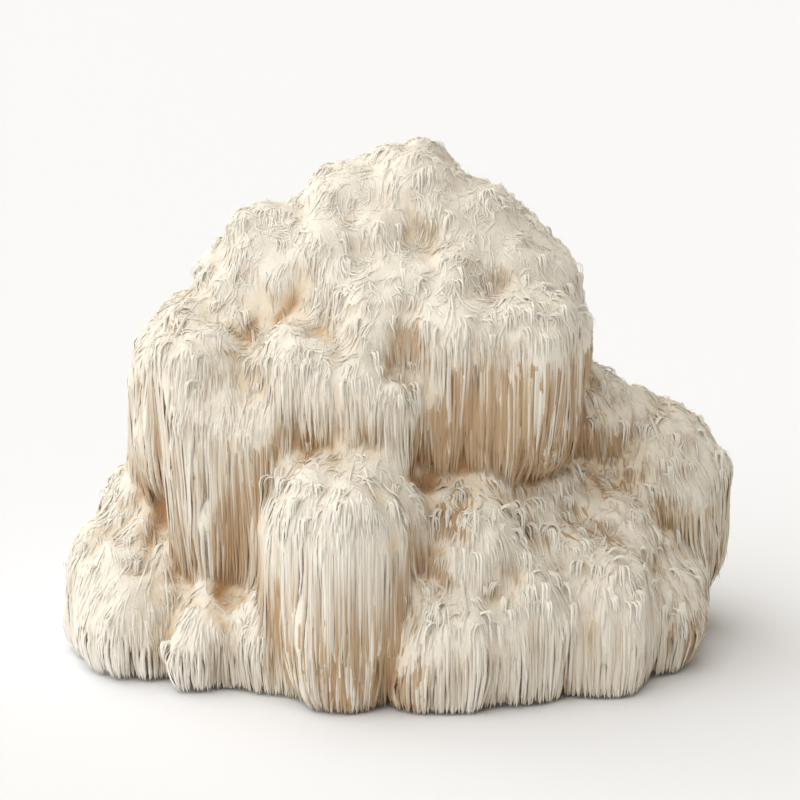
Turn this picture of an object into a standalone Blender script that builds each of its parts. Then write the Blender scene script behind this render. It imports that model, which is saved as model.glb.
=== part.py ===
"""A lion's mane mushroom: one grown fruit body of many lobes, picked and standing on its cut base.

Each lobe is a cushion of flesh with spines that hang from it, so its outer form is a dome above a
straight falling skirt. The solid reaches the tips of the spines. Units are metres, +Z is up, and
the origin is on the resting surface, under the middle of the fruit body.
"""

from collections import namedtuple

import bmesh
import bpy

MM = 0.001

# Driving dimensions of the whole fruit body.
WIDTH = 200 * MM
VOXEL = 2.0 * MM  # the lobes are fused at this fineness
FUSED_SMOOTHING = 4  # rounds that soften the creases where lobes meet
SMOOTHING_FACTOR = 0.5  # how far each round moves a point towards its neighbours
FACET_SHARE = 0.125  # share of the fused faces that the finished solid keeps
CUT_MARGIN = 20 * MM  # how far the block that makes the cut base reaches past the fruit body
FLESH_COLOUR = (0.86, 0.79, 0.68, 1.0)
FLESH_ROUGHNESS = 0.75

# A lobe, in millimetres. x and y place its middle (-y is the front), half_x and half_y are its
# half widths at the shoulder, and top, shoulder and fringe are heights. The skirt falls from the
# shoulder to the fringe and narrows to foot times its width there.
Lobe = namedtuple("Lobe", "name x y half_x half_y top shoulder fringe foot")

LOBES = [
    # The upper mass: a broad dome of knolls.
    Lobe("heart", 2, 6, 50, 42, 112, 86, -8, 1.0),
    Lobe("crown_peak", 4, 9, 16.5, 20, 150, 134, 90, 1.0),
    Lobe("crown_left_knoll", -15, 8, 14, 20, 144, 128, 90, 1.0),
    Lobe("crown_left_brow", -34, 6, 17.5, 26, 131, 111, 80, 1.0),
    Lobe("crown_left_cheek", -49, 6, 13, 24, 117, 98, 76, 1.0),
    Lobe("crown_right_brow", 22, 6, 21, 26, 138, 115, 80, 1.0),
    Lobe("crown_right_cheek", 34, 2, 20.5, 26, 126, 96, 66, 0.86),
    Lobe("crown_front", 0, -12, 30, 22, 122, 104, 80, 0.95),
    Lobe("crown_knob_high", 13, -8, 8, 9, 138, 128, 110, 1.0),
    Lobe("crown_knob_left", -5, -12, 8, 9, 133, 123, 104, 1.0),
    Lobe("crown_knob_low", 13, -22, 11, 10, 122, 112, 96, 0.95),
    Lobe("crown_knob_outer", -22, -12, 10, 10, 130, 119, 100, 0.95),
    Lobe("crown_knob_right", 31, -12, 11, 11, 126, 115, 98, 0.95),
    Lobe("crown_back", -4, 32, 42, 28, 124, 98, 52, 0.9),
    # The right overhang: a deep curtain under the brow.
    Lobe("right_curtain", 33, -20, 19, 23, 112, 98, 60, 0.88),
    Lobe("right_curtain_knoll", 13, -30, 12, 14, 111, 101, 65, 0.9),
    # Short clumps on the front of the upper mass.
    Lobe("middle_clump", -7, -30, 9, 10, 111, 102, 82, 0.9),
    Lobe("middle_low_clump", -14, -34, 13, 13, 97, 88, 69, 0.9),
    Lobe("middle_left_clump", -29, -29, 12, 13, 102, 92, 68, 0.9),
    Lobe("tongue", -2, -42, 7, 7.5, 89, 82, 64, 0.85),
    # The left fall: long curtains that hang lower towards the front.
    Lobe("left_shoulder", -56, 2, 23.5, 30, 108, 82, 48, 0.95),
    Lobe("left_shoulder_front", -54, -14, 19, 20, 103, 88, 50, 0.85),
    Lobe("left_fall", -50, -21, 18, 18, 90, 72, 26, 0.72),
    Lobe("left_fall_inner", -38, -26, 12, 15, 86, 72, 20, 0.7),
    # The lower left mound and the two small lobes beside it.
    Lobe("lower_left", -75, 0, 25, 29, 43, 20, -12, 0.88),
    Lobe("lower_left_brow", -70, 10, 22, 26, 55, 34, -8, 1.0),
    Lobe("small_left", -53.5, -32, 8.5, 14, 28, 18, -8, 0.85),
    Lobe("small_inner", -39, -35, 10, 15, 26, 15, -8, 0.95),
    Lobe("left_root", -53, -9, 22, 29, 28, 16, -8, 1.0),
    # The front lobe: its curtain falls all the way to the surface.
    Lobe("front", -15, -41, 22.5, 25.5, 70, 50, -8, 0.92),
    Lobe("front_left_foot", -27, -37, 14, 17, 40, 26, -8, 1.05),
    # The front right row of low lobes.
    Lobe("front_right_inner", 14, -49, 14, 16.5, 36, 22, -8, 0.95),
    Lobe("front_right_middle", 33, -42, 14, 17, 42, 24, -8, 0.95),
    Lobe("front_right_outer", 56, -36, 15, 17, 42, 24, -8, 0.95),
    # The slope between the overhang and the front right row.
    Lobe("saddle", 16, -26, 20, 22, 64, 46, -8, 1.0),
    Lobe("right_slope", 42, -8, 32, 26, 56, 34, -8, 1.0),
    Lobe("right_slope_foot", 62, -2, 28, 25, 40, 20, -10, 0.92),
    # The rear right lobe.
    Lobe("rear_right", 71, 20, 29.5, 28, 70, 42, 12, 0.86),
    Lobe("rear_right_brow", 53, 22, 23, 26, 82, 64, 30, 0.95),
    # The back, which grew against the log.
    Lobe("crown_back_left", -30, 34, 20, 23, 114, 94, 56, 0.9),
    Lobe("crown_back_right", 19, 32, 19, 22, 129, 104, 62, 0.9),
    Lobe("rear_left", -44, 36, 34, 26, 76, 50, -8, 0.92),
    Lobe("rear_left_brow", -20, 42, 17, 20, 84, 66, 20, 0.9),
    Lobe("rear_left_foot", -66, 26, 20, 22, 48, 30, -8, 0.92),
    Lobe("rear_middle", -4, 44, 24, 22, 62, 40, -8, 0.9),
    Lobe("rear_right_inner", 22, 46, 19, 19, 74, 54, -8, 0.88),
    Lobe("rear_low_right", 46, 40, 30, 25, 46, 26, -8, 0.92),
]

BOX_FLATNESS = 6  # how squarely a skirt turns in at its fringe; 2 would be a half round
LOBE_SEGMENTS = 32
LOBE_RINGS = 24
POLE_RADIUS = 1e-6  # stands in for the ring of no width at a lobe's lowest point


def clear_scene():
    for obj in list(bpy.data.objects):
        bpy.data.objects.remove(obj)


def collection_named(name):
    collection = bpy.data.collections.new(name)
    bpy.context.scene.collection.children.link(collection)
    return collection


def add_lobe(bm, lobe):
    """A sphere whose upper half is the dome and whose lower half is drawn down into the skirt."""
    made = bmesh.ops.create_uvsphere(bm, u_segments=LOBE_SEGMENTS, v_segments=LOBE_RINGS, radius=1.0)
    for vert in made["verts"]:
        height = vert.co.z
        if height >= 0:
            spread = 1.0
            z = lobe.shoulder + (lobe.top - lobe.shoulder) * height
        else:
            depth = -height
            ring = max((1 - depth * depth) ** 0.5, POLE_RADIUS)
            wall = (1 - depth**BOX_FLATNESS) ** (1 / BOX_FLATNESS)
            spread = (wall / ring) * (1 + (lobe.foot - 1) * depth)
            z = lobe.shoulder - (lobe.shoulder - lobe.fringe) * depth
        vert.co = (
            (lobe.x + lobe.half_x * spread * vert.co.x) * MM,
            (lobe.y + lobe.half_y * spread * vert.co.y) * MM,
            z * MM,
        )


def flesh_material():
    material = bpy.data.materials.new("cream_flesh")
    material.use_nodes = True
    shader = material.node_tree.nodes["Principled BSDF"]
    shader.inputs["Base Color"].default_value = FLESH_COLOUR
    shader.inputs["Roughness"].default_value = FLESH_ROUGHNESS
    shader.inputs["Metallic"].default_value = 0.0
    return material


def cut_block(collection):
    """The block below the resting plane that leaves the cut base flat."""
    side = WIDTH + 2 * CUT_MARGIN
    bpy.ops.mesh.primitive_cube_add(size=1, location=(0, 0, -side / 2))
    block = bpy.context.object
    block.name = "base_cut"
    block.scale = (side, side, side)
    bpy.ops.object.transform_apply(location=False, rotation=False, scale=True)
    block.hide_render = True
    block.display_type = "WIRE"
    for holder in list(block.users_collection):
        holder.objects.unlink(block)
    collection.objects.link(block)
    return block


def fruit_body(collection, cutter):
    """Every lobe fused into one body, thinned to plain facets and cut flat where it rests."""
    bm = bmesh.new()
    for lobe in LOBES:
        add_lobe(bm, lobe)
    mesh = bpy.data.meshes.new("fruit_body")
    bm.to_mesh(mesh)
    bm.free()
    body = bpy.data.objects.new("fruit_body", mesh)
    collection.objects.link(body)
    mesh.materials.append(flesh_material())

    fuse = body.modifiers.new("fuse_lobes", "REMESH")
    fuse.mode = "VOXEL"
    fuse.voxel_size = VOXEL

    soften = body.modifiers.new("soften_creases", "SMOOTH")
    soften.factor = SMOOTHING_FACTOR
    soften.iterations = FUSED_SMOOTHING

    thin = body.modifiers.new("plain_facets", "DECIMATE")
    thin.ratio = FACET_SHARE

    cut = body.modifiers.new("cut_base", "BOOLEAN")
    cut.operation = "DIFFERENCE"
    cut.object = cutter
    return body


def main():
    clear_scene()
    mushroom = collection_named("lions_mane_mushroom")
    cutters = collection_named("cutters")
    fruit_body(mushroom, cut_block(cutters))


main()
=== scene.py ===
"""A lion's mane mushroom, picked and standing on its cut base.

The fruit body is one piece of cream flesh in many lobes, under a coat of soft spines. They lie
matted on top of each lobe and hang straight down its sides. Units are metres and +Z is up.
"""

import math
from collections import namedtuple

import bpy
import numpy as np
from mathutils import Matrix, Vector, kdtree, noise
from mathutils.bvhtree import BVHTree


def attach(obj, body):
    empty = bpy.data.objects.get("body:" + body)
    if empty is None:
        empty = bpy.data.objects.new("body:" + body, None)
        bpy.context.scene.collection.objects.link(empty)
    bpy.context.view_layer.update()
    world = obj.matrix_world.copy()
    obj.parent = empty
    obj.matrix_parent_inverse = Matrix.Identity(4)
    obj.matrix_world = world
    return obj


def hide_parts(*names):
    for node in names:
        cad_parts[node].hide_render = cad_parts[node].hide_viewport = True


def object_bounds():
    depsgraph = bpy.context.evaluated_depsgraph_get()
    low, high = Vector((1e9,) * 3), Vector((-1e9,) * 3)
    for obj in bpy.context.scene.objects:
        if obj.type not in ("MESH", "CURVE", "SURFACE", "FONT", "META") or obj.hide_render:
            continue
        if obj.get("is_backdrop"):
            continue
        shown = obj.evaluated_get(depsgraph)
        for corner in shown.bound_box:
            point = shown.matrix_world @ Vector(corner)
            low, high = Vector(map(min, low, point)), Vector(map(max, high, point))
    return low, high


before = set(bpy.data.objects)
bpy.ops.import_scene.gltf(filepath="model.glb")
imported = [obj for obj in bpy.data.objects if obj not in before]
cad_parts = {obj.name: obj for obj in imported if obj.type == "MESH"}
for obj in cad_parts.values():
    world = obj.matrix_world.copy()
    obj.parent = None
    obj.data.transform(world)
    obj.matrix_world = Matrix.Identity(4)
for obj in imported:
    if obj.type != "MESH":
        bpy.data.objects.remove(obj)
cad_low, cad_high = (np.array(corner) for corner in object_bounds())

# ---------------------------------------------------------------------------------------------
# The outer form: the shape that the spines' tips reach, lobe by lobe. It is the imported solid,
# fused and softened, with knolls raised on its tops and ribs down its sides. It only guides the
# flesh and the spines, and is taken away once they have grown.
MM = 0.001
MERGE_DISTANCE = 0.01 * MM
FORM_VOXEL = 1.15 * MM
FORM_SOFTENING = 7  # rounds that take the plain facets off
HALF_WAY = 0.5
LIE_SOFTENING = 25  # rounds that smooth the ways in which the spines lie
TOP_FACING = (0.15, 0.6)  # how far up a face looks where a lobe's side turns into its top
FULLNESS = 0.7 * MM  # how far the coat stands out from the solid as a whole
CUT_EASE = (0.5 * MM, 4 * MM)  # heights over which the swelling sets in above the cut

# Cushions swell the form in crowds: their size and height, how many times taller than wide they
# are, how full one is where it neither raises nor lowers the form, and what sets crowds apart.
Cushions = namedtuple("Cushions", "size height stretch level shift")
KNOLLS = Cushions(15.0 * MM, 3.0 * MM, 1.0, 0.65, 0.0)
TUFTS = Cushions(6.0 * MM, 1.6 * MM, 1.0, 0.6, 0.05)
RIBS = Cushions(9.0 * MM, 1.5 * MM, 5.0, 0.6, 0.0)
FINGERS = Cushions(4.4 * MM, 1.2 * MM, 6.5, 0.4, 0.03)
LOBELETS = Cushions(18.0 * MM, 3.2 * MM, 1.8, 0.6, -0.04)
FINGER_TOP = (-0.5, 0.4)  # a finger is fullest above this part of its height
FINGER_FOOT_SHARE = 0.35  # and has this share of its fullness left at its foot

# The slope under the overhang is the least lumpy part, and the crown is a little less lumpy.
SADDLE = (42, -18, 44)  # millimetres
SADDLE_LENGTH = 1.2  # how many times wider than deep it is
SADDLE_EDGE = (14 * MM, 36 * MM)
SADDLE_LUMPINESS = 0.25
CROWN_EASE = 0.25
CROWN_EDGE = (96 * MM, 110 * MM)

# Single knolls and hollows, raised or sunk: place, reach and height, in millimetres.
BULGES = [
    ((-43, 0, 129), 13, 5.0),
    ((-68, 0, 106), 14, -5.5),
    ((2, 8, 151), 13, -2.0),
    ((19, 8, 143), 12, -3.0),
    ((52, -4, 92), 15, 3.5),
    ((98, 18, 50), 16, 1.0),
    ((68, 24, 82), 14, -7.0),
    ((83, 20, 72), 13, 3.5),
    ((38, 4, 132), 12, -3.0),
    ((-53, 4, 119), 12, 3.0),
    ((17, 9, 149), 10, -3.0),
    ((-9, 8, 149), 8, -2.0),
    ((-97, 2, 26), 18, -4.0),
    ((-75, -28, 8), 20, 3.0),
]

# Small lobes that fill the valleys between the large ones: place and half sizes, in millimetres.
FILLER_LOBES = [
    ((23, -29, 84), (9, 13, 26)),
    ((40, -22, 36), (18, 14, 10)),
    ((31, -22, 44), (16, 16, 14)),
    ((20, -42, 37), (16, 14, 18)),
    ((44, -34, 32), (14, 10, 14)),
    ((38, -14, 50), (16, 16, 12)),
    ((60, -18, 34), (16, 14, 16)),
    ((72, -17, 13), (15, 18, 21)),
    ((-57, -38, 9), (7, 9, 11)),
    ((-53, -37, 14), (7.5, 10, 14)),
    ((-40, -40, 11), (7.5, 10, 14)),
    ((-74, -22, 12), (17, 14, 20)),
]
FILLER_SEGMENTS = 32
FILLER_RINGS = 16

# At the foot the tips stand out a little, and tuck in again right above the cut.
FOOT_FLARE = 1.2 * MM
FOOT_TUCK = 2.4 * MM
FOOT_HEIGHT = 34 * MM
FLARE_FROM = 0.15  # of the foot's height
TUCK_HEIGHT = 0.3  # of the foot's height
UNDERSIDE = -0.8  # faces that look further down than this keep their place

# The front lobe draws in towards its foot, about an upright axis.
FRONT_AXIS = -15 * MM
FRONT_DRAW = 0.22
FRONT_DRAW_HEIGHT = 30 * MM
FRONT_DEPTH = (-50 * MM, -38 * MM)
FRONT_HALF_WIDTH = (26 * MM, 34 * MM)

# Hollows between lobes are partly filled, most of all on the crown.
HOLLOW_ROUNDS = 22  # rounds of softening that a hollow is measured against
HOLLOW_DEPTH = 1.5 * MM
FOOT_FILLING = 0.36  # share of each hollow that is filled in
WALL_FILLING = 0.24
CROWN_FILLING = 0.6
FOOT_TO_WALL = (20 * MM, 34 * MM)
WALL_TO_CROWN = (88 * MM, 106 * MM)
CUT_BAND = 3 * MM  # below this height a vertex belongs to the flat cut

# How shut in a place is: the share of ways out of it that soon meet another part of the form.
SHUT_RAYS = 8
SHUT_REACH = 30 * MM
SHUT_START = 0.6 * MM  # how far off the form a way out begins
SHUT_SPREAD = 0.98
SHUT_SOFTENING = 3
SHUT_FREE = 0.10  # what an open wall has from its own lumps
SEED = 11

# Depth, from 0 to 1, is painted shade: the colours turn warmer and deeper in a hollow, where a
# place is shut in by other parts of the form, and on the lobes' sides, which take less light.
HOLLOW_SHADE_SHARE, SHUT_SHADE_SHARE, SIDE_SHADE_SHARE = 0.4, 1.5, 0.33
SHADED_SIDE_FACING = (-0.1, 0.5)


def smoothstep(low, high, x):
    t = np.clip((x - low) / (high - low), 0.0, 1.0)
    return t * t * (3 - 2 * t)


def unit(v):
    return v / np.maximum(np.linalg.norm(v, axis=-1, keepdims=True), 1e-9)


def apply_modifier(obj, kind, **settings):
    modifier = obj.modifiers.new(kind.lower(), kind)
    for name, value in settings.items():
        setattr(modifier, name, value)
    bpy.ops.object.modifier_apply(modifier=modifier.name)


def vertex_arrays(mesh):
    co = np.empty(len(mesh.vertices) * 3)
    normals = np.empty(len(mesh.vertices) * 3)
    mesh.vertices.foreach_get("co", co)
    mesh.vertex_normals.foreach_get("vector", normals)
    return co.reshape(-1, 3), normals.reshape(-1, 3)


def move_vertices(mesh, co):
    mesh.vertices.foreach_set("co", co.ravel())
    mesh.update()


def softened(values, edges, rounds):
    """Values on the vertices, each moved half way to the mean of its neighbours, round by round."""
    ends = np.concatenate([edges[:, 0], edges[:, 1]])
    others = np.concatenate([edges[:, 1], edges[:, 0]])
    count = np.maximum(np.bincount(ends, minlength=len(values)), 1)
    for _ in range(rounds):
        total = [np.bincount(ends, column[others], len(values)) for column in values.T]
        values = HALF_WAY * (values + np.stack(total, 1) / count[:, None])
    return values


def crowded(points, cushions):
    """How full a crowd of cushions is at each point, and how far up its own cushion the point is."""
    full, up_cushion = np.empty(len(points)), np.empty(len(points))
    squeezed = (points + cushions.shift) * (1, 1, 1 / cushions.stretch) / cushions.size
    for i, point in enumerate(squeezed):
        near, middles = noise.voronoi(point)[:2]
        full[i] = 1 - (near[0] / max(near[1], 1e-6)) ** 2
        up_cushion[i] = point[2] - middles[0][2]
    return full, up_cushion


# The solid is copied and merged, the small lobes are set into it, and all is fused.
bpy.ops.object.select_all(action="DESELECT")
form = bpy.data.objects.new("outer_form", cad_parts["fruit_body"].data.copy())
bpy.context.scene.collection.objects.link(form)
form.select_set(True)
bpy.context.view_layer.objects.active = form
bpy.ops.object.mode_set(mode="EDIT")
bpy.ops.mesh.select_all(action="SELECT")
bpy.ops.mesh.remove_doubles(threshold=MERGE_DISTANCE)
for place, half_sizes in FILLER_LOBES:
    bpy.ops.mesh.primitive_uv_sphere_add(
        segments=FILLER_SEGMENTS,
        ring_count=FILLER_RINGS,
        radius=1,
        location=np.array(place) * MM,
        scale=np.array(half_sizes) * MM,
    )
bpy.ops.object.mode_set(mode="OBJECT")
apply_modifier(form, "REMESH", mode="VOXEL", voxel_size=FORM_VOXEL)
apply_modifier(form, "SMOOTH", factor=HALF_WAY, iterations=FORM_SOFTENING)

form_co, form_normals = vertex_arrays(form.data)
form_edges = np.empty(len(form.data.edges) * 2, int)
form.data.edges.foreach_get("vertices", form_edges)
form_edges = form_edges.reshape(-1, 2)
lie_normals = unit(softened(form_normals, form_edges, LIE_SOFTENING))
facing_up = smoothstep(*TOP_FACING, form_normals[:, 2])

# Tops swell in knolls and tufts, and walls in ribs and fingers.
fingers, up_finger = crowded(form_co, FINGERS)
fingers *= FINGER_FOOT_SHARE + (1 - FINGER_FOOT_SHARE) * smoothstep(*FINGER_TOP, up_finger)
saddle_off = (form_co - np.array(SADDLE) * MM) / (SADDLE_LENGTH, 1, 1)
lumpy = smoothstep(*SADDLE_EDGE, np.linalg.norm(saddle_off, axis=1))
lumpy = lumpy * (1 - SADDLE_LUMPINESS) + SADDLE_LUMPINESS
lumpy *= 1 - CROWN_EASE * smoothstep(*CROWN_EDGE, form_co[:, 2])
on_top = KNOLLS.height * (crowded(form_co, KNOLLS)[0] - KNOLLS.level) * lumpy
on_top += TUFTS.height * (crowded(form_co, TUFTS)[0] - TUFTS.level)
on_wall = RIBS.height * (crowded(form_co, RIBS)[0] - RIBS.level)
on_wall += FINGERS.height * (fingers - FINGERS.level)
swell = facing_up * on_top + (1 - facing_up) * on_wall + FULLNESS
swell += LOBELETS.height * (crowded(form_co, LOBELETS)[0] - LOBELETS.level) * lumpy
for place, reach, height in BULGES:
    off = np.linalg.norm(form_co - np.array(place) * MM, axis=1)
    swell += height * MM * (1 - smoothstep(0, reach * MM, off))
form_co = form_co + form_normals * (swell * smoothstep(*CUT_EASE, form_co[:, 2]))[:, None]

flare = FOOT_FLARE * (1 - smoothstep(FLARE_FROM * FOOT_HEIGHT, FOOT_HEIGHT, form_co[:, 2]))
flare -= FOOT_TUCK * (1 - smoothstep(0, TUCK_HEIGHT * FOOT_HEIGHT, form_co[:, 2]))
flare *= form_normals[:, 2] > UNDERSIDE
form_co += unit(form_normals * (1, 1, 0.001)) * (1, 1, 0) * flare[:, None]
near_front = 1 - smoothstep(*FRONT_DEPTH, form_co[:, 1])
near_front *= 1 - smoothstep(*FRONT_HALF_WIDTH, np.abs(form_co[:, 0] - FRONT_AXIS))
draw_in = FRONT_DRAW * (1 - smoothstep(0, FRONT_DRAW_HEIGHT, form_co[:, 2])) * near_front
form_co[:, 0] += (FRONT_AXIS - form_co[:, 0]) * draw_in
move_vertices(form.data, form_co)
apply_modifier(form, "SMOOTH", factor=HALF_WAY, iterations=1)


def hollows():
    """How far each vertex of the form lies below the same form with its hollows softened out."""
    rounded = softened(form_co, form_edges, HOLLOW_ROUNDS)
    return ((rounded - form_co) * form_normals).sum(1)


form_co, form_normals = vertex_arrays(form.data)
filled = np.maximum(hollows(), 0)
filled *= FOOT_FILLING + (WALL_FILLING - FOOT_FILLING) * smoothstep(*FOOT_TO_WALL, form_co[:, 2])
filled *= 1 + (CROWN_FILLING / WALL_FILLING - 1) * smoothstep(*WALL_TO_CROWN, form_co[:, 2])
form_co += form_normals * (filled * (form_co[:, 2] > CUT_BAND))[:, None]
move_vertices(form.data, form_co)

form_co, form_normals = vertex_arrays(form.data)
hollow = hollows() / HOLLOW_DEPTH
form_faces = np.empty(len(form.data.polygons) * 4, int)
form.data.polygons.foreach_get("vertices", form_faces)
form_faces = form_faces.reshape(-1, 4)
form_tree = BVHTree.FromPolygons(form_co.tolist(), form_faces.tolist())

random = np.random.default_rng(SEED)
noise.seed_set(SEED)  # without it the ways in which spines lie would start from the clock
# Painted shade: places shut in by other parts of the form come out darker and warmer.
shut = np.zeros(len(form_co))
starts = (form_co + form_normals * SHUT_START).tolist()
for _ in range(SHUT_RAYS):
    ways = unit(form_normals + SHUT_SPREAD * unit(random.normal(0, 1, form_co.shape))).tolist()
    shut += [form_tree.ray_cast(a, b, SHUT_REACH)[0] is not None for a, b in zip(starts, ways)]
shut = softened(shut[:, None] / SHUT_RAYS, form_edges, SHUT_SOFTENING)[:, 0]
# Painted shade: hollows and the lobes' sides, which take less light than their tops, come out darker.
side_shade = 1 - smoothstep(*SHADED_SIDE_FACING, form_normals[:, 2])
vertex_painted_shade = HOLLOW_SHADE_SHARE * hollow + SHUT_SHADE_SHARE * (shut - SHUT_FREE) + SIDE_SHADE_SHARE * side_shade
vertex_painted_shade = np.clip(vertex_painted_shade, 0, 1)

face_middles = form_co[form_faces].mean(1)
face_normals = unit(form_normals[form_faces].mean(1))
face_lies = unit(lie_normals[form_faces].mean(1))
face_painted_shade = vertex_painted_shade[form_faces].mean(1)


def on_form(points):
    """For each point: its height over the form, and the face of the form nearest to it."""
    heights, faces = np.empty(len(points)), np.empty(len(points), int)
    for i, point in enumerate(points):
        place, normal, faces[i], distance = form_tree.find_nearest(point)
        inside = (point[0] - place.x) * normal.x + (point[1] - place.y) * normal.y
        inside += (point[2] - place.z) * normal.z
        heights[i] = math.copysign(distance, inside)
    return heights, faces


# ---------------------------------------------------------------------------------------------
# The flesh: what the spines grow from, firm and cream, seen only between them. It lies just
# inside the outer form, draws back behind each fringe of tips, stays clear of the surface round
# the rim, and has a plug in the middle with the flat cut that the mushroom stands on.
TOP_DEPTH = 0.3 * MM
WALL_DEPTH = 0.45 * MM
FLESH_VOXEL = 1.5 * MM
FRINGE_REACH = 9.0 * MM  # height above a fringe or the cut over which the flesh draws back
FRINGE_DEPTH = 1.25 * MM
FRINGE_GAP = (0.6 * MM, 3.0 * MM)  # how far out of the form a fringe hangs
FRINGE_FACING = (0.3, 0.7)  # it doesn't draw back on tops
CREASE = (-0.3, 0.3)  # nor in creases
OVER_CUT = (0.8 * FRINGE_REACH, 1.3 * FRINGE_REACH)
FACING_DOWN = (0.1, 0.7)
RIM_LIFT = 3.5 * MM
PLUG_SHARE = 0.66  # the plug's width, as a share of the whole
PLUG_EDGE = 0.12
# Painted shade: the flesh's colour turns deep the further inside the form it lies, under the spines.
BURIED_SHADE = (2.0 * MM, 5.0 * MM)  # depth inside the form over which its colour turns deep
FLESH_CREAM = (0.86, 0.82, 0.73)
FLESH_WARM_TONE_AND_SHADE = (0.80, 0.65, 0.46)
FLESH_DEEP_SHADE = (0.52, 0.30, 0.14)
GRAIN_STRETCH = 0.16  # the grain runs down the lobes
GRAIN_SCALE = 900.0
CURL_SCALE = 330.0
BLOTCH_SCALE = 70.0
# The warm colour follows painted shade from the depth and the flesh's own blotches and grain; the
# deep colour is painted shade alone.
PAINTED_SHADE_WARMTH, BLOTCH_WARMTH, GRAIN_WARMTH, WARMTH_START = 1.4, 0.3, 0.5, 0.4
FLESH_DEEP_SHADE_RATE, FLESH_DEEP_SHADE_START = 2.0, 1.0
CURL_RELIEF = 1.5  # times the grain's
RELIEF_HEIGHT = 0.4 * MM
RELIEF_STRENGTH = 0.5
FLESH_ROUGHNESS = 0.75
MATT_SPECULAR = 0.3


def off_middle(points):
    """How far out from the upright middle line a point is, as a share of the whole."""
    middle, half = (cad_low + cad_high) / 2, (cad_high - cad_low) / 2
    return np.hypot(*((points - middle) / half)[:, :2].T)


flesh = bpy.data.objects.new("flesh", form.data.copy())
bpy.context.scene.collection.objects.link(flesh)
bpy.ops.object.select_all(action="DESELECT")
flesh.select_set(True)
bpy.context.view_layer.objects.active = flesh
below = form_co - form_normals * WALL_DEPTH - (0, 0, FRINGE_REACH)
over_fringe = smoothstep(*FRINGE_GAP, on_form(below)[0])
over_fringe = np.maximum(over_fringe, 1 - smoothstep(*OVER_CUT, form_co[:, 2]))
over_fringe *= 1 - smoothstep(*FRINGE_FACING, form_normals[:, 2])
over_fringe *= 1 - smoothstep(*CREASE, hollow)
depth = WALL_DEPTH + (TOP_DEPTH - WALL_DEPTH) * facing_up + FRINGE_DEPTH * over_fringe
flesh_co = form_co - form_normals * depth[:, None]
off_cut = form_co[:, 2] > CUT_BAND
flesh_co[:, 2] += FRINGE_REACH * smoothstep(*FACING_DOWN, -form_normals[:, 2]) * off_cut
rim_height = RIM_LIFT * smoothstep(PLUG_SHARE, PLUG_SHARE + PLUG_EDGE, off_middle(form_co))
flesh_co[:, 2] = np.where(off_cut, np.maximum(flesh_co[:, 2], rim_height), rim_height)
move_vertices(flesh.data, flesh_co)
apply_modifier(flesh, "REMESH", mode="VOXEL", voxel_size=FLESH_VOXEL)
apply_modifier(flesh, "SMOOTH", factor=HALF_WAY, iterations=1)
bpy.ops.object.shade_smooth()
# Painted shade for the flesh: the form's depth, deeper still where the flesh lies buried inside the
# form.
flesh_height, flesh_face = on_form(vertex_arrays(flesh.data)[0])
flesh_painted_shade = np.clip(face_painted_shade[flesh_face] + smoothstep(*BURIED_SHADE, -flesh_height), 0, 1)
flesh.data.attributes.new("depth", "FLOAT", "POINT").data.foreach_set("value", flesh_painted_shade)


class Wire:
    """One socket of a node tree. An expression on wires adds Math nodes to the tree."""

    def __init__(self, tree, socket):
        self.tree, self.socket = tree, socket

    def math(self, operation, *values):
        maths = self.tree.nodes.new("ShaderNodeMath")
        maths.operation = operation
        for place, value in zip(maths.inputs, values):
            plug(self.tree, place, value)
        return Wire(self.tree, maths.outputs[0])

    def __add__(self, other):
        return self.math("ADD", self, other)

    def __sub__(self, other):
        return self.math("SUBTRACT", self, other)

    def __rsub__(self, other):
        return self.math("SUBTRACT", other, self)

    def __mul__(self, other):
        return self.math("MULTIPLY", self, other)

    __radd__ = __add__
    __rmul__ = __mul__

    def clamped(self):
        return self.math("MINIMUM", self.math("MAXIMUM", self, 0.0), 1.0)


def plug(tree, place, value):
    if isinstance(value, Wire):
        tree.links.new(value.socket, place)
    elif place.type == "RGBA":
        place.default_value = (*value, 1.0)
    else:
        place.default_value = value


def find_socket(sockets, name):
    return next(s for s in sockets if name in (s.identifier, s.name.replace(" ", "_")))


def plug_all(tree, node, sockets):
    for name, value in sockets.items():
        plug(tree, find_socket(node.inputs, name), value)


def make_node(tree, kind, out, settings=None, **sockets):
    """A node of any type: its settings first, then values or wires for its sockets, by name."""
    node = tree.nodes.new("ShaderNode" + kind)
    for name, value in (settings or {}).items():
        setattr(node, name, value)
    plug_all(tree, node, sockets)
    return Wire(tree, find_socket(node.outputs, out))


def attribute(tree, name):
    return make_node(tree, "Attribute", "Fac", {"attribute_name": name})


def blend_colours(factor, first, second):
    return make_node(
        factor.tree,
        "Mix",
        "Result_Color",
        {"data_type": "RGBA"},
        Factor_Float=factor,
        A_Color=first,
        B_Color=second,
    )


def new_finish(name):
    material = bpy.data.materials.new(name)
    material.use_nodes = True
    tree = material.node_tree
    return material, tree, tree.nodes["Principled BSDF"]


flesh_finish, tree, shader = new_finish("spine_root_flesh")
place = make_node(tree, "TexCoord", "Object")
drawn_down = make_node(tree, "Mapping", "Vector", Vector=place, Scale=(1.0, 1.0, GRAIN_STRETCH))
grain = make_node(
    tree, "TexNoise", "Fac", Vector=drawn_down, Scale=GRAIN_SCALE, Detail=2.0, Distortion=0.4
)
curls = make_node(tree, "TexNoise", "Fac", Vector=place, Scale=CURL_SCALE, Detail=3.0, Distortion=2.6)
blotch = make_node(tree, "TexNoise", "Fac", Vector=place, Scale=BLOTCH_SCALE, Detail=2.0)
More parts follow.
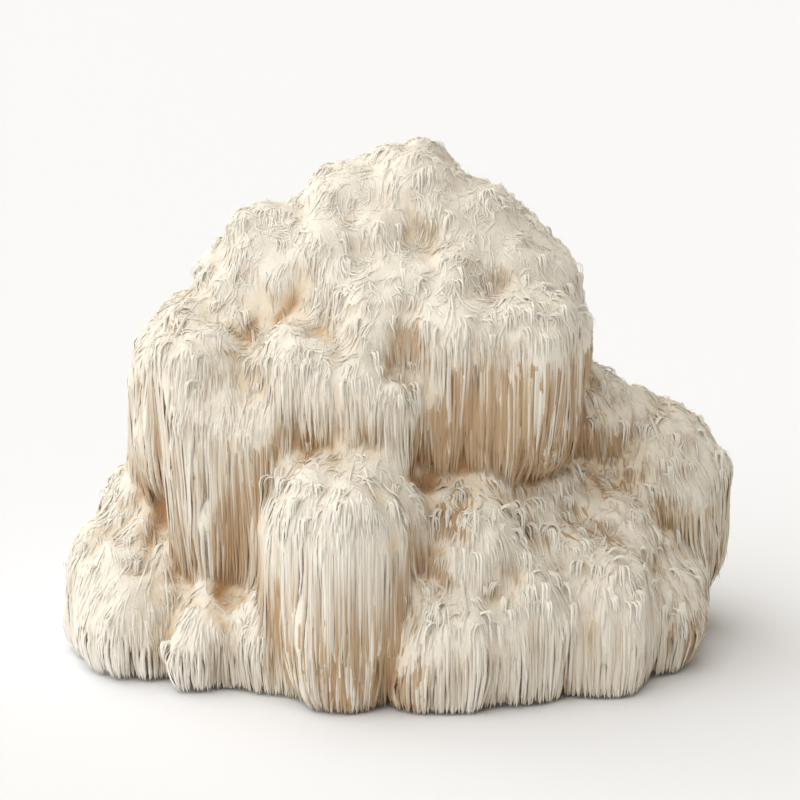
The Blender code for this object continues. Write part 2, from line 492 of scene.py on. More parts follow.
# Painted shade: the depth warms and deepens the colour; blotches and grain add the flesh's own uneven
# tone.
painted_shade_wire = attribute(tree, "depth")
warm_tone_and_shade = painted_shade_wire * PAINTED_SHADE_WARMTH + blotch * BLOTCH_WARMTH + grain * GRAIN_WARMTH - WARMTH_START
colour = blend_colours(warm_tone_and_shade.clamped(), FLESH_CREAM, FLESH_WARM_TONE_AND_SHADE)
deep_shade = (painted_shade_wire * FLESH_DEEP_SHADE_RATE - FLESH_DEEP_SHADE_START).clamped()
colour = blend_colours(deep_shade, colour, FLESH_DEEP_SHADE)
relief = grain + curls * CURL_RELIEF
bump = make_node(
    tree, "Bump", "Normal", Height=relief, Strength=RELIEF_STRENGTH, Distance=RELIEF_HEIGHT
)
plug_all(tree, shader, dict(Base_Color=colour, Normal=bump))
plug_all(tree, shader, dict(Roughness=FLESH_ROUGHNESS, Specular_IOR_Level=MATT_SPECULAR))
flesh.data.materials.clear()
flesh.data.materials.append(flesh_finish)
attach(flesh, "root")
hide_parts("fruit_body")

# ---------------------------------------------------------------------------------------------
# The spines: thousands of soft tapered teeth, joined into one mesh for each region of the coat.
# On a lobe's top they are short, fine and matted, on its shoulder they curl over as crooks, and
# down its sides they are long and hang straight, with their points free at the fringe.

# A region of the coat: where its middle is, as shares of the whole box, the length and width of
# its matted spines, the width and the least and most length of its hanging ones, in millimetres,
# the clumps of crooks to each hundred square millimetres and how wide they curl, and how much
# painted shade tans its spines towards their tips, below a height in millimetres. The painted
# shade is strongest on the regions that face away from the key light.
Region = namedtuple("Region", "at mat_length mat_width width least most crooks curl tan tan_below")
ANYWHERE = 300  # higher than the mushroom
REGIONS = {
    "crown_left": Region((0.38, 0.36, 0.88), 6.5, 0.48, 0.70, 6, 12, 3.2, 3.0, 0.0, ANYWHERE),
    "crown_right": Region((0.63, 0.38, 0.90), 6.5, 0.48, 0.70, 6, 14, 3.6, 3.0, 0.16, ANYWHERE),
    "crown_back": Region((0.50, 0.78, 0.84), 6.5, 0.62, 0.85, 7, 16, 1.6, 3.2, 0.05, ANYWHERE),
    "middle": Region((0.43, 0.24, 0.68), 6.0, 0.60, 0.85, 8, 20, 3.3, 2.9, 0.15, ANYWHERE),
    "left_fall": Region((0.20, 0.38, 0.50), 6.5, 0.62, 0.90, 14, 40, 2.2, 3.4, 0.38, ANYWHERE),
    "lower_left": Region((0.12, 0.48, 0.16), 6.0, 0.60, 0.85, 8, 26, 1.8, 3.0, 0.0, ANYWHERE),
    "small_lobes": Region((0.26, 0.14, 0.08), 6.0, 0.60, 0.85, 8, 24, 3.0, 2.9, 0.08, ANYWHERE),
    "front": Region((0.41, 0.16, 0.24), 6.5, 0.66, 1.00, 22, 52, 3.6, 3.4, 0.72, 50),
    "front_right": Region((0.68, 0.16, 0.16), 6.0, 0.66, 0.95, 10, 30, 5.0, 3.9, 0.2, ANYWHERE),
    "overhang": Region((0.68, 0.26, 0.58), 6.0, 0.62, 1.08, 22, 44, 3.6, 3.5, 1.35, 106),
    "right_slope": Region((0.74, 0.44, 0.30), 6.0, 0.60, 0.80, 7, 20, 3.8, 2.9, 0.75, ANYWHERE),
    "rear_right": Region((0.88, 0.70, 0.34), 6.5, 0.62, 0.85, 14, 34, 1.6, 3.2, 0.5, ANYWHERE),
    "back": Region((0.50, 0.90, 0.38), 6.5, 0.66, 1.00, 16, 44, 1.0, 3.4, 0.2, ANYWHERE),
    "back_left": Region((0.22, 0.82, 0.30), 6.5, 0.66, 0.95, 14, 40, 1.0, 3.4, 0.1, ANYWHERE),
}
REGION_BORDER = 1.5 * MM  # how raggedly two regions meet
UP = np.array([0.0, 0.0, 1.0])
DOWN = -UP

region_at = np.array([each.at for each in REGIONS.values()]) * (cad_high - cad_low) + cad_low


def region_of(places):
    jitter = random.normal(0, REGION_BORDER, places.shape)
    return np.linalg.norm((places + jitter)[:, None] - region_at[None], axis=2).argmin(1)


def of_region(region, value):
    """One of the values above, for each of a list of regions."""
    return np.array([getattr(each, value) for each in REGIONS.values()])[region]


def scattered(density):
    """Random places on the form, with the given number for each square millimetre of each face."""
    corners = form_co[form_faces]
    across = np.cross(corners[:, 2] - corners[:, 0], corners[:, 3] - corners[:, 1])
    area = np.linalg.norm(across, axis=1) / 2 / MM**2
    count = np.floor(area * density + random.random(len(area))).astype(int)
    face = np.repeat(np.arange(len(count)), count)
    u, v = random.random((2, len(face), 1))
    c = corners[face]
    return (c[:, 0] * (1 - u) + c[:, 1] * u) * (1 - v) + (c[:, 3] * (1 - u) + c[:, 2] * u) * v, face


# Locks: neighbouring spines that share a height, a lean, a curl and a shade.
LOCK_SPACING = 16.0  # square millimetres to each lock
LOCK_TURN = (1.8, 5.0)  # radius of a lock's curl, in millimetres

lock_at = scattered(np.full(len(form_faces), 1 / LOCK_SPACING))[0]
lock_height = random.normal(0, 1, len(lock_at))
lock_lean = unit(random.normal(0, 1, (len(lock_at), 3)))
lock_turn = random.choice([-1.0, 1.0], len(lock_at)) / random.uniform(*LOCK_TURN, len(lock_at)) / MM
lock_shade = random.normal(0, 1, len(lock_at))
lock_tree = kdtree.KDTree(len(lock_at))
for i, place_at in enumerate(lock_at):
    lock_tree.insert(place_at, i)
lock_tree.balance()


def lock_of(places):
    return np.array([lock_tree.find(place_at)[1] for place_at in places])


# How far each face looks up decides which spines it bears, with a ragged border between them.
RAGGED_SIZE = 9 * MM
RAGGEDNESS = 0.35
CUT_REACH = 2.5 * MM  # height up to which a spine counts as on the cut
TOP_FROM = (0.05, 0.35)
SHOULDER_FROM = (0.0, 0.14)
SHOULDER_TO = (0.5, 0.7)
WALL_TO = -0.3  # a face that looks further down than this is under a fringe

up = face_lies[:, 2]
ragged = up + RAGGEDNESS * np.array([noise.noise(point) for point in face_middles / RAGGED_SIZE])
on_cut = face_middles[:, 2] < CUT_REACH
topness = smoothstep(*TOP_FROM, ragged) * ~on_cut
shoulder = smoothstep(*SHOULDER_FROM, up) * (1 - smoothstep(*SHOULDER_TO, ragged)) * ~on_cut
wall = (1 - smoothstep(*SHOULDER_FROM, up)) * (up > WALL_TO) * ~on_cut

# Growing: a spine advances step by step, and a neighbouring lobe can turn it or end it.
STEP = 1.3 * MM
LIE_PULL = 0.45  # how fast a matted spine closes up to the form again
HANGING_FREE = 0.8  # a spine that hangs more freely than this can be blocked or land
LIMIT_FREE = 0.5  # and one freer than this ends at its limit
BLOCKED_GAP = 0.4 * MM
BLOCKED_AFTER = 6 * MM
BLOCKED_SHARE = 0.75  # chance, at each step, that a blocked spine ends
LANDING_GAP = -0.5 * MM
LANDING_TOP = 0.4  # how far up a face looks that a spine can land on
ROOTED_TOP = 0.45  # a spine with its root on a top doesn't land
TIP_HEIGHTS = (0.2, 1.1)  # where tips end above the ground, in millimetres


def grow(roots, face, length, level_at, limit, cling, steer):
    """Grows each spine step by step, and gives its track, its nearest faces and its last step.

    level_at gives the spines' heights over the form after a distance, and steer their ways and
    how freely each hangs. A wall pushes a hanging spine out and draws it in only by its cling,
    and the spine ends where the wall draws back past its limit.
    """
    count = len(roots)
    most = int(length.max() / STEP) + 1
    everyone = np.arange(count)
    track = np.empty((count, most + 1, 3))
    track[:] = (roots + face_normals[face] * level_at(everyone, 0.0)[:, None])[:, None]
    faces = np.repeat(face[:, None], most + 1, 1)
    last = np.ones(count, int)
    tip_height = random.uniform(*TIP_HEIGHTS, count) * MM
    rooted_flat = face_lies[face][:, 2] > ROOTED_TOP
    growing = everyone
    for step in range(1, most + 1):
        far = step * STEP
        here = track[growing, step - 1]
        way, hang = steer(growing, here, face_lies[faces[growing, step - 1]], far)
        ahead = here + way * STEP
        height, near = on_form(ahead)
        n = face_normals[near]
        gap = level_at(growing, far) - height
        blocked = (hang > HANGING_FREE) & (gap > BLOCKED_GAP) & (far > BLOCKED_AFTER)
        blocked &= random.random(len(gap)) < BLOCKED_SHARE
        landed = (hang > HANGING_FREE) & (face_lies[near][:, 2] > LANDING_TOP)
        gap = np.where(gap > 0, gap, gap * (LIE_PULL * (1 - hang) + cling * hang))
        landed &= gap > LANDING_GAP
        free = hang[:, None]
        push = unit(n * (1 - free) + unit(n * (1, 1, 0.02)) * free)
        ahead = ahead + push * np.clip(gap, -STEP, STEP)[:, None]
        track[growing, step:] = ahead[:, None]
        faces[growing, step:] = near[:, None]
        last[growing] = step
        ended = (
            (far >= length[growing])
            | (height > limit[growing]) & (hang > LIMIT_FREE)
            | (ahead[:, 2] < tip_height[growing] + STEP / 2)
            | landed & ~rooted_flat[growing]
            | blocked
        )
        growing = growing[~ended]
        if not len(growing):
            break
    return track, faces, last


def resampled(track, last, shares):
    """Each track read at shares of its own length."""
    at = last[:, None] * shares[None, :]
    low = np.minimum(np.floor(at).astype(int), np.maximum(last - 1, 0)[:, None])
    part = (at - low)[..., None]
    row = np.arange(len(track))[:, None]
    return track[row, low] * (1 - part) + track[row, low + 1] * part


def read_faces(faces, last, shares):
    """The nearest faces at the same shares."""
    at = np.round(last[:, None] * shares[None, :]).astype(int)
    return faces[np.arange(len(faces))[:, None], at]


# Keeping: each batch of spines gets its thickness and the values that its colour reads, most of them
# painted shade.
TIP_CLEARANCE = 0.3 * MM
TAPER_POWER = 0.7
THINNEST = 0.05  # of the full thickness, at the tip
GROUND_POINT = 0.45  # a spine that reaches the ground is pointed over this share of the length
# Painted shade: the tan that darkens and warms each region's spines.
PAINTED_SHADE_SPREAD = (0.15, 1.65)  # how much the tan differs from spine to spine
PAINTED_SHADE_ROOT = 0.3  # share of a spine from its root over which its tan sets in
PAINTED_SHADE_FADE = 30 * MM  # height over which the tan sets in below a region's limit

batches = []


def keep(line, faces, facing, thick, flat, point, shade, tan, region, rise):
    """Keeps a batch of spines for the meshes. Each narrows to its tip over the length of point.

    A flat of less than one lays them flatter, with a plain ridge along their middle.
    """
    far = np.cumsum(np.linalg.norm(np.diff(line, axis=1, prepend=line[:, :1]), axis=2), 1)
    point = np.where(line[:, -1, 2] < CUT_REACH, GROUND_POINT * point, point)
    taper = np.minimum(1, (far[:, -1:] - far) / point[:, None]) ** TAPER_POWER
    line = line.copy()
    line[:, :, 2] = np.maximum(line[:, :, 2], TIP_CLEARANCE)
    along = far / np.maximum(far[:, -1:], 1e-6)
    # Painted shade: each spine takes its region's tan, towards its tip and below the region's height.
    painted_shade_share = tan * of_region(region, "tan") * random.uniform(*PAINTED_SHADE_SPREAD, len(line))
    below = of_region(region, "tan_below")[:, None] * MM - line[:, :, 2]
    painted_shade_share = painted_shade_share[:, None] * smoothstep(0.0, PAINTED_SHADE_ROOT, along) * smoothstep(0, PAINTED_SHADE_FADE, below)
    # depth carries painted shade from the form and the tan, rise paints stand-out spines paler and
    # sunk ones darker, and shade is each spine's own random tone.
    values = dict(
        shade=np.repeat(shade[:, None], line.shape[1], 1),
        depth=np.clip(face_painted_shade[faces] + painted_shade_share, 0, 1),
        rise=rise / MM,
    )
    radius = thick[:, None] / 2 * np.maximum(taper, THINNEST)
    batches.append((line, facing, radius, flat, values, region))


# Matted spines: short and curved, in locks that turn the same way.
WOOL_SPACING = 1.9  # square millimetres of lobe top to each matted spine
SWIRL_SIZE = 9.0 * MM
MAT_FLAT = 0.36
# How much of its region's painted shade a matted spine takes.
MAT_PAINTED_SHADE = 0.5
MAT_LIMIT = 9 * MM
MAT_CLING = 0.1
MAT_LENGTHS = (0.65, 1.35)
MAT_LEVELS = (-0.24, 0.08)  # heights over the form, in millimetres
LOCK_LEVEL = 0.08
STRAY_SHARE = 0.06  # share of them that stand up at the tip
STRAY_LIFTS = (0.3, 1.2)
TUCKED_LIFT = -0.2
ROOT_DEPTH = 1.2 * MM  # how deep in the flesh they start
CROWN_HEIGHT = 104 * MM
CROWN_DROOP = 0.35  # on the crown they follow the slope less
STEEP = (0.55, 0.95)  # how far a slope falls where matted spines start to follow it
SWIRL_PULL, FALL_PULL, STEEP_PULL, LOCK_PULL, OWN_PULL = 1.6, 1.0, 2.5, 0.5, 0.3
OWN_TURN = (0.5, 1.3)
LEAST_FOLLOWING = 0.2  # how much they follow a level slope
STEEP_STILLNESS = 0.85  # share of their turning that a steep slope takes away
MAT_WIDTHS = (0.75, 1.2)
MAT_POINT = 0.6  # share of the length over which they narrow
MAT_SHARES = np.array([0, 0.3, 0.62, 1.0])  # where along its track a spine has its rings


def swirl(points):
    """A smooth field of ways for spines to lie."""
    return np.array([noise.noise_vector(point) for point in points / SWIRL_SIZE])


def downhill(lie):
    """The way down along a slope, as long as the slope is steep."""
    return DOWN + lie * lie[:, 2:]


roots, face = scattered(topness / WOOL_SPACING)
region, lock, count = region_of(roots), lock_of(roots), len(roots)
length = of_region(region, "mat_length") * random.uniform(*MAT_LENGTHS, count) * MM
level = (random.uniform(*MAT_LEVELS, count) + LOCK_LEVEL * lock_height[lock]) * MM
strays = random.random(count) < STRAY_SHARE
lifted = np.where(strays, random.uniform(*STRAY_LIFTS, count), TUCKED_LIFT) * MM
fall = downhill(face_lies[face])
droop = np.where(roots[:, 2] > CROWN_HEIGHT, CROWN_DROOP, 1.0)[:, None]
steepness = (fall**2).sum(1, keepdims=True)
heading = swirl(roots) * SWIRL_PULL + fall * (FALL_PULL + STEEP_PULL * steepness**2) * droop
heading += LOCK_PULL * lock_lean[lock]
heading += OWN_PULL * random.normal(0, 1, roots.shape)
turn_rate = lock_turn[lock] * random.uniform(*OWN_TURN, count)


def mat_level(who, far):
    part = far / length[who]
    return level[who] - ROOT_DEPTH * np.exp(-far / ROOT_DEPTH) + lifted[who] * part**2


def lying(who, here, lie, far):
    fall = downhill(lie)
    steep = smoothstep(*STEEP, np.linalg.norm(fall, axis=1, keepdims=True))
    swing = turn_rate[who, None] * STEP * (1 - STEEP_STILLNESS * steep)
    way = heading[who] * np.cos(swing) + np.cross(lie, heading[who]) * np.sin(swing)
    following = (LEAST_FOLLOWING + (1 - LEAST_FOLLOWING) * steep) * droop[who]
    way = unit(way) + following * fall
    heading[who] = unit(way - lie * (way * lie).sum(1, keepdims=True))
    return heading[who], np.zeros(len(who))


limit = np.full(count, MAT_LIMIT)
track, faces, last = grow(roots, face, length, mat_level, limit, MAT_CLING, lying)
line = resampled(track, last, MAT_SHARES)
thick = of_region(region, "mat_width") * random.uniform(*MAT_WIDTHS, count) * MM
shade = 0.6 * lock_shade[lock] + 0.5 * random.normal(0, 1, count)
rise = np.stack([mat_level(np.arange(count), s * last * STEP) for s in MAT_SHARES], 1)
faces = read_faces(faces, last, MAT_SHARES)
facing, point = face_normals[faces], MAT_POINT * length
keep(line, faces, facing, thick, MAT_FLAT, point, shade, MAT_PAINTED_SHADE, region, rise)

# Hanging spines: they follow the wall to its steepest part and then fall straight.
SHOULDER_SPACING = 3.4  # square millimetres to each of them
WALL_SPACING = 5.9
CROWN_WALLS = 105 * MM  # above this height they are sparse
CROWN_SHARE = 0.25
HANGING_FLAT = 0.45
# How much of its region's painted shade a hanging spine takes; the spines under the fringes take it
# too.
HANGING_PAINTED_SHADE = 1.0
HANGING_CLING = 0.3
HANGING_LIMITS = (1.0, 3.2)  # how far from the wall they hang at the most, in millimetres
HANGING_ROOT = 2.2 * MM
HANGING_EASE = 1.5 * MM  # length over which they come out of the flesh
HANGING_STEEP = (0.6, 0.92)
LONGEST_POINT = 8 * MM
POINT_SHARE = 0.5  # of a shorter spine
SCATTERED_LEVEL = 0.28  # how unevenly deep they lie, in millimetres
HANGING_LOCK_LEVEL = 0.1
HANGING_LEVEL = 0.1
LOCK_STRAY, OWN_STRAY = 0.25, 0.1
HANGING_FALL_PULL, HANGING_SWIRL_PULL = 1.7, 1.2
ALONG_WALL = 0.6  # how much a falling spine keeps to its wall
UNDERCUT = (-0.5, -0.2)  # unless the wall is undercut like this
HANGING_WIDTHS = (0.7, 1.05)
HANGING_SHARES = np.array([0, 0.08, 0.24, 0.5, 0.78, 1.0])

face_region = region_of(face_middles)
on_crown = np.where(face_middles[:, 2] > CROWN_WALLS, CROWN_SHARE, 1.0)
roots, face = scattered((shoulder / SHOULDER_SPACING + wall / WALL_SPACING) * on_crown)
region, lock, count = region_of(roots), lock_of(roots), len(roots)
length = random.uniform(of_region(region, "least"), of_region(region, "most")) * MM
level = HANGING_LOCK_LEVEL * lock_height[lock] - np.abs(random.normal(0, SCATTERED_LEVEL, count))
level = (level + HANGING_LEVEL) * MM
stray = LOCK_STRAY * lock_lean[lock] + OWN_STRAY * random.normal(0, 1, roots.shape)
limit = random.uniform(*HANGING_LIMITS, count) * MM


def hanging_level(who, far):
    return level[who] - HANGING_ROOT * np.exp(-far / HANGING_EASE)


def hanging(who, here, lie, far):
    fall = downhill(lie)
    free = smoothstep(*HANGING_STEEP, np.linalg.norm(fall, axis=1, keepdims=True))
    way = fall * HANGING_FALL_PULL + swirl(here) * HANGING_SWIRL_PULL + stray[who]
    way = unit(way - lie * (way * lie).sum(1, keepdims=True))
    along_wall = ALONG_WALL * smoothstep(*UNDERCUT, lie[:, 2:])
    drop = unit(unit(fall) * along_wall + DOWN * (1 - along_wall))
    return unit(way * (1 - free) + drop * free), free[:, 0]


track, faces, last = grow(roots, face, length, hanging_level, limit, HANGING_CLING, hanging)
line = resampled(track, last, HANGING_SHARES)
line[:, 1:-1] = 0.25 * line[:, :-2] + 0.5 * line[:, 1:-1] + 0.25 * line[:, 2:]
thick = of_region(region, "width") * random.uniform(*HANGING_WIDTHS, count) * MM
shade = 0.5 * lock_shade[lock] + 0.6 * random.normal(0, 1, count)
rise = np.stack([hanging_level(np.arange(count), s * last * STEP) for s in HANGING_SHARES], 1)
point = np.minimum(LONGEST_POINT, last * STEP * POINT_SHARE)
faces = read_faces(faces, last, HANGING_SHARES)
facing = face_normals[faces]
keep(line, faces, facing, thick, HANGING_FLAT, point, shade, HANGING_PAINTED_SHADE, region, rise)

# Crooks: clumps of spines that rise at a shoulder, turn over together and hang.
CLUMP = 5
CROOK_FLAT = 0.55
# How much of its region's painted shade a crook takes.
CROOK_PAINTED_SHADE = 0.2
CROOK_LIMIT = 30 * MM
CROOK_CLING = 0.1
CROOK_ROOT = 1.5 * MM
CROOK_CLEAR = 1.7 * MM  # length over which a crook rises clear of the flesh
# Painted light: crooks count as standing out, so they come out paler.
CROOK_PAINTED_LIGHT = 1.0 * MM
CROOK_TAILS = (0, 2.6)  # length past the turn, as a share of the curl
FACING_TURN = 30 * MM  # how firmly a crook's flat side turns outwards past its bend
FACING_FROM = (0.3, 0.8)  # and over which part of its length
CROOK_RIM = (0.15, 0.35)
CROOK_TOP = (0.96, 1.0)
CROOK_STRAY, CLUMP_STRAY = 0.8, 0.12
CLUMP_WIDTH, CLUMP_DEPTH = 0.75, 0.5  # millimetres
CURLS = (0.6, 1.3)
CLUMP_CURLS = (0.88, 1.12)
CLUMP_TAILS = (0.8, 1.2)
CROOK_WIDTHS = (1.0, 1.45)
CROOK_POINT = 4  # times the curl
CROOK_SHARES = np.linspace(0, 1, 8)

crook_rim = smoothstep(*CROOK_RIM, up) * (1 - smoothstep(*CROOK_TOP, up)) * ~on_cut
roots, face = scattered(crook_rim * of_region(face_region, "crooks") / 100)
region, lie = region_of(roots), face_lies[face]
out_way = unit((lie + CROOK_STRAY * random.normal(0, 1, lie.shape)) * (1, 1, 0))
curl = of_region(region, "curl") / 2 * random.uniform(*CURLS, len(roots)) * MM
tail = random.uniform(*CROOK_TAILS, len(roots)) * curl
roots, region, out_way, curl, tail = (
    np.repeat(each, CLUMP, 0) for each in (roots, region, out_way, curl, tail)
)
count = len(roots)
roots = roots + np.cross(out_way, UP) * random.normal(0, CLUMP_WIDTH, (count, 1)) * MM
roots = roots + out_way * random.normal(0, CLUMP_DEPTH, (count, 1)) * MM
out_way = unit(out_way + CLUMP_STRAY * random.normal(0, 1, out_way.shape) * (1, 1, 0))
curl = curl * random.uniform(*CLUMP_CURLS, count)
length = curl * math.pi + tail * random.uniform(*CLUMP_TAILS, count)


def crook_level(who, far):
    return np.full(len(who), min(far, CROOK_CLEAR) - CROOK_ROOT)


def turning_over(who, here, lie, far):
    turn = np.minimum(far / curl[who], math.pi)[:, None]
    return UP * np.cos(turn) + out_way[who] * np.sin(turn), np.ones(len(who))


face = on_form(roots)[1]
limit = np.full(count, CROOK_LIMIT)
track, faces, last = grow(roots, face, length, crook_level, limit, CROOK_CLING, turning_over)
line = resampled(track, last, CROOK_SHARES)
thick = of_region(region, "mat_width") * random.uniform(*CROOK_WIDTHS, count) * MM
shade = np.zeros(count)
rise = np.full(line.shape[:2], CROOK_PAINTED_LIGHT)
faces = read_faces(faces, last, CROOK_SHARES)
facing = line - (line[:, :1] + (out_way * curl[:, None])[:, None])
facing = facing + out_way[:, None] * smoothstep(*FACING_FROM, CROOK_SHARES)[:, None] * FACING_TURN
point = CROOK_POINT * curl
keep(line, faces, facing, thick, CROOK_FLAT, point, shade, CROOK_PAINTED_SHADE, region, rise)

# Short straight spines under the fringes and round the rim of the cut.
UNDER_SPACING = 3.2
UNDER_ROOTS = (7, 10)  # how far above the form they start, in millimetres
UNDER_TIPS = (-1.0, 2.0)  # how far below it they end
UNDER_CLEARANCE = (0.4, 1.4)  # and how far above the ground at least
UNDER_LEAN = 0.5
UNDER_POINT = 7 * MM
# Painted shade: spines under a fringe count as sunk, so they come out darker.
UNDER_PAINTED_SHADE = -2.0 * MM
UNDER_WIDTHS = (0.8, 1.1)
UNDER_SHARES = np.array([0, 0.35, 0.7, 1.0])

under = (up < WALL_TO) & ~on_cut
rim = on_cut & (up < WALL_TO) & (off_middle(face_middles) > PLUG_SHARE)
roots, face = scattered((under | rim) / UNDER_SPACING)
region, count = region_of(roots), len(roots)
top = roots[:, 2] + random.uniform(*UNDER_ROOTS, count) * MM
bottom = roots[:, 2] - random.uniform(*UNDER_TIPS, count) * MM
bottom = np.maximum(bottom, random.uniform(*UNDER_CLEARANCE, count) * MM)
line = np.repeat(roots[:, None], len(UNDER_SHARES), 1)
line[:, :, 2] = top[:, None] + (bottom - top)[:, None] * UNDER_SHARES
lean = random.normal(0, UNDER_LEAN, (count, 2)) * MM
line[:, :, :2] += lean[:, None] * UNDER_SHARES[None, :, None]
thick = of_region(region, "width") * random.uniform(*UNDER_WIDTHS, count) * MM
faces = np.repeat(face[:, None], len(UNDER_SHARES), 1)
facing = face_normals[faces]
point = np.full(count, UNDER_POINT)
rise = np.full(line.shape[:2], UNDER_PAINTED_SHADE)
shade = random.normal(0, 1, count)
keep(line, faces, facing, thick, HANGING_FLAT, point, shade, HANGING_PAINTED_SHADE, region, rise)

# Their finish: cream, with painted shade that makes it warmer towards the root, deep in a crease
# and where they are shut in, and tan in the regions that face away from the key light.
SPINE_CREAM = (0.895, 0.87, 0.795)
SPINE_WARM_TONE_AND_SHADE = (0.55, 0.44, 0.30)
SPINE_DEEP_SHADE = (0.47, 0.29, 0.145)
# Painted light and shade: a spine that stands out is paler and a sunk one darker; the shade value is
# each spine's own random tone.
RISE_PAINTED_SHADE, SHADE_WARMTH = -0.26, 0.05  # a spine that stands out is paler
SPINE_DEEP_SHADE_RATE, SPINE_DEEP_SHADE_START = 1.8, 1.15
SPINE_ROUGHNESS = 0.6
SPINE_SHEEN = 0.25
SHEEN_ROUGHNESS = 0.5

spine_finish, tree, shader = new_finish("spine_cream")
warm_tone_and_shade = attribute(tree, "depth") + attribute(tree, "rise") * RISE_PAINTED_SHADE
warm_tone_and_shade = (warm_tone_and_shade + attribute(tree, "shade") * SHADE_WARMTH).clamped()
colour = blend_colours(warm_tone_and_shade, SPINE_CREAM, SPINE_WARM_TONE_AND_SHADE)
deep_shade = (warm_tone_and_shade * SPINE_DEEP_SHADE_RATE - SPINE_DEEP_SHADE_START).clamped()
colour = blend_colours(deep_shade, colour, SPINE_DEEP_SHADE)
plug_all(tree, shader, dict(Base_Color=colour, Roughness=SPINE_ROUGHNESS))
plug_all(tree, shader, dict(Specular_IOR_Level=MATT_SPECULAR))
plug_all(tree, shader, dict(Sheen_Weight=SPINE_SHEEN, Sheen_Roughness=SHEEN_ROUGHNESS))

# Their meshes: each spine is a closed tube of three flat sides.
SIDES = 3
FIRST_SPOKE = 90  # degrees; this corner is the ridge
WIDE = 1.3  # a spine is a little wider than it is round


def tubes(line, facing, radius, flat):
    """A closed tube along each line, pointed at its end: vertices, quads and triangles."""
    count, rings = line.shape[0], line.shape[1] - 1
    along = unit(np.gradient(line, axis=1))
    side = unit(np.cross(along, facing))
    out = np.cross(side, along)
    corners = []
    for k in range(SIDES):
        turn = math.radians(FIRST_SPOKE + k * 360 / SIDES)
        spoke = WIDE * math.cos(turn) * side + flat * math.sin(turn) * out
        corners.append(line[:, :rings] + radius[:, :rings, None] * spoke[:, :rings])
    rim = np.stack(corners, 2).reshape(count, rings * SIDES, 3)
    points = np.concatenate([rim, line[:, -1:]], 1)
    quads = []
    for ring in range(rings - 1):
        for k in range(SIDES):
            a, b = ring * SIDES + k, ring * SIDES + (k + 1) % SIDES
            quads.append((a, b, b + SIDES, a + SIDES))
    low, tip = (rings - 1) * SIDES, rings * SIDES
    ends = [(low + k, low + (k + 1) % SIDES, tip) for k in range(SIDES)] + [(2, 1, 0)]
    return points, np.array(quads), np.array(ends)


def on_corners(value):
    """Values along each line, given to all the corners of its rings and to its tip."""
    return np.concatenate([np.repeat(value[:, :-1], SIDES, 1), value[:, -1:]], 1)


def spines_mesh(name, parts):
    """Joins batches of spines into one mesh with its values stored on the vertices."""
    points, loops, sizes, stored, first = [], [], [], {}, 0
    for line, facing, radius, flat, values in parts:
        co, quads, ends = tubes(line, facing, radius, flat)
        each = co.shape[1]
        starts = first + np.arange(len(co))[:, None, None] * each
        for faces in (quads, ends):
            loops.append((starts + faces[None]).reshape(-1))
            sizes.append(np.full(len(co) * len(faces), faces.shape[1]))
        points.append(co.reshape(-1, 3))
        for key, value in values.items():
            stored.setdefault(key, []).append(on_corners(value).reshape(-1))
        first += len(co) * each
    points, loops, sizes = np.concatenate(points), np.concatenate(loops), np.concatenate(sizes)
    mesh = bpy.data.meshes.new(name)
    mesh.vertices.add(len(points))
    mesh.vertices.foreach_set("co", points.ravel())
    mesh.loops.add(len(loops))
    mesh.loops.foreach_set("vertex_index", loops)
    mesh.polygons.add(len(sizes))
    mesh.polygons.foreach_set("loop_start", np.cumsum(sizes) - sizes)
    mesh.update(calc_edges=True)
    mesh.validate()
    mesh.polygons.foreach_set("use_smooth", np.zeros(len(sizes), bool))
    for key, value in stored.items():
        mesh.attributes.new(key, "FLOAT", "POINT").data.foreach_set("value", np.concatenate(value))
    return mesh


for index, name in enumerate(REGIONS):
    parts = []
    for line, facing, radius, flat, values, region in batches:
        chosen = region == index
        if chosen.any():
            kept = {key: value[chosen] for key, value in values.items()}
            parts.append((line[chosen], facing[chosen], radius[chosen], flat, kept))
    mesh = spines_mesh("spines_" + name, parts)
    mesh.materials.append(spine_finish)
    spines = bpy.data.objects.new("spines_" + name, mesh)
    bpy.context.scene.collection.objects.link(spines)
    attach(spines, "root")
    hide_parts("fruit_body")

bpy.data.objects.remove(form)

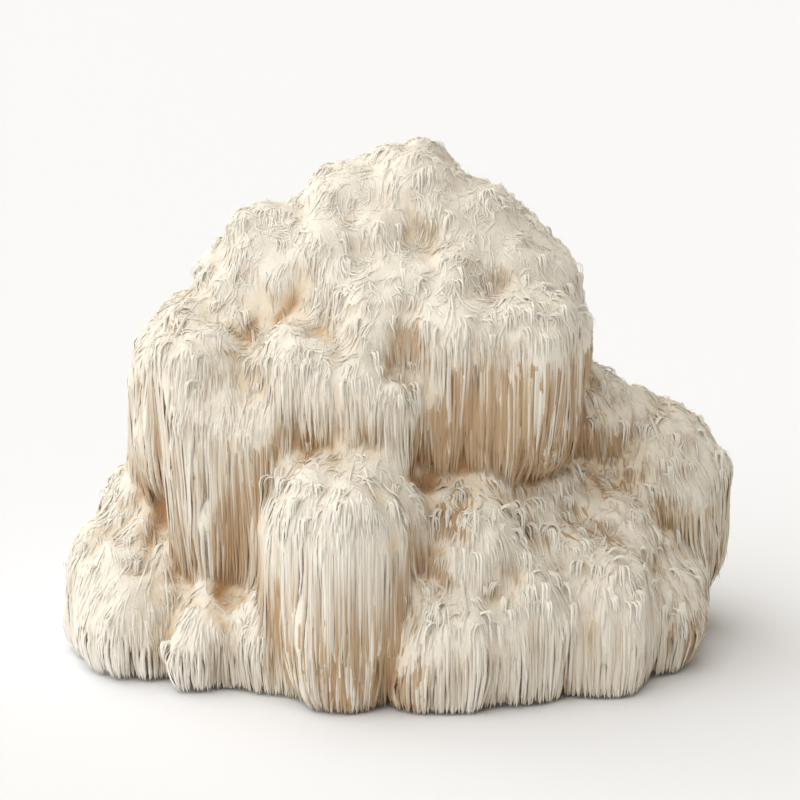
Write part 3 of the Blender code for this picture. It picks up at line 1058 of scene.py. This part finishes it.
# ---------------------------------------------------------------------------------------------
# The studio: a plain pale floor under a pale sky, brighter towards the horizon, a large soft key
# light from the upper left, and the camera looking slightly down on the front.
CAMERA_LENS = 101.0
CAMERA_SENSOR = 36.0
CAMERA_DISTANCE = 0.653
CAMERA_ELEVATION = math.radians(12)
CAMERA_AIM = Vector((0.0, 0.0, 0.074))
KEY_FROM = Vector((-0.74, -0.08, 0.85))
KEY_STRENGTH = 3.0
KEY_SPREAD = math.radians(110)
KEY_TINT = (1.0, 0.99, 0.975)
FLOOR_SIDE = 80.0
FLOOR_TONE = (0.92, 0.95, 1.0)
FLOOR_ROUGHNESS = 0.9
DOME = 0.30  # strength of the high sky
DOME_TINT = (1.0, 0.86, 0.67)
HORIZON = 0.95  # strength of the white bands
HORIZON_TINT = (1.0, 1.0, 1.0)

toward_camera = Vector((0.0, -math.cos(CAMERA_ELEVATION), math.sin(CAMERA_ELEVATION)))
camera = bpy.data.objects.new("camera", bpy.data.cameras.new("camera"))
bpy.context.scene.collection.objects.link(camera)
camera.data.lens = CAMERA_LENS
camera.data.sensor_width = CAMERA_SENSOR
camera.location = CAMERA_AIM + toward_camera * CAMERA_DISTANCE
camera.rotation_euler = (-toward_camera).to_track_quat("-Z", "Y").to_euler()
bpy.context.scene.camera = camera

key = bpy.data.objects.new("key", bpy.data.lights.new("key", "SUN"))
bpy.context.scene.collection.objects.link(key)
key.data.energy = KEY_STRENGTH
key.data.angle = KEY_SPREAD
key.data.color = KEY_TINT
key.rotation_euler = (-KEY_FROM).to_track_quat("-Z", "Y").to_euler()

bpy.ops.object.select_all(action="DESELECT")
bpy.ops.mesh.primitive_plane_add(size=FLOOR_SIDE, location=(0, 0, 0))
floor = bpy.context.object
floor.name = "floor"
floor_finish, tree, shader = new_finish("pale_floor")
plug_all(tree, shader, dict(Base_Color=FLOOR_TONE, Roughness=FLOOR_ROUGHNESS))
floor.data.materials.append(floor_finish)
floor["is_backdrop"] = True

# The sky is white in a low band all round and in a higher one at the back.
world = bpy.data.worlds.new("studio")
bpy.context.scene.world = world
world.use_nodes = True
tree = world.node_tree
way = make_node(tree, "TexCoord", "Generated")
height = make_node(tree, "SeparateXYZ", "Z", Vector=way)
at_back = make_node(tree, "SeparateXYZ", "Y", Vector=way)
low_band = 1.0 - (height * 10.0 - 0.8).clamped()
high_band = (1.0 - (height * 4.0 - 0.8).clamped()) * (at_back * 2.0).clamped()
band = high_band.math("MAXIMUM", high_band, low_band)
sky = dict(
    Color=blend_colours(band, DOME_TINT, HORIZON_TINT),
    Strength=DOME + (HORIZON - DOME) * band,
)
plug_all(tree, tree.nodes["Background"], sky)
bpy.context.scene.view_settings.view_transform = "Standard"
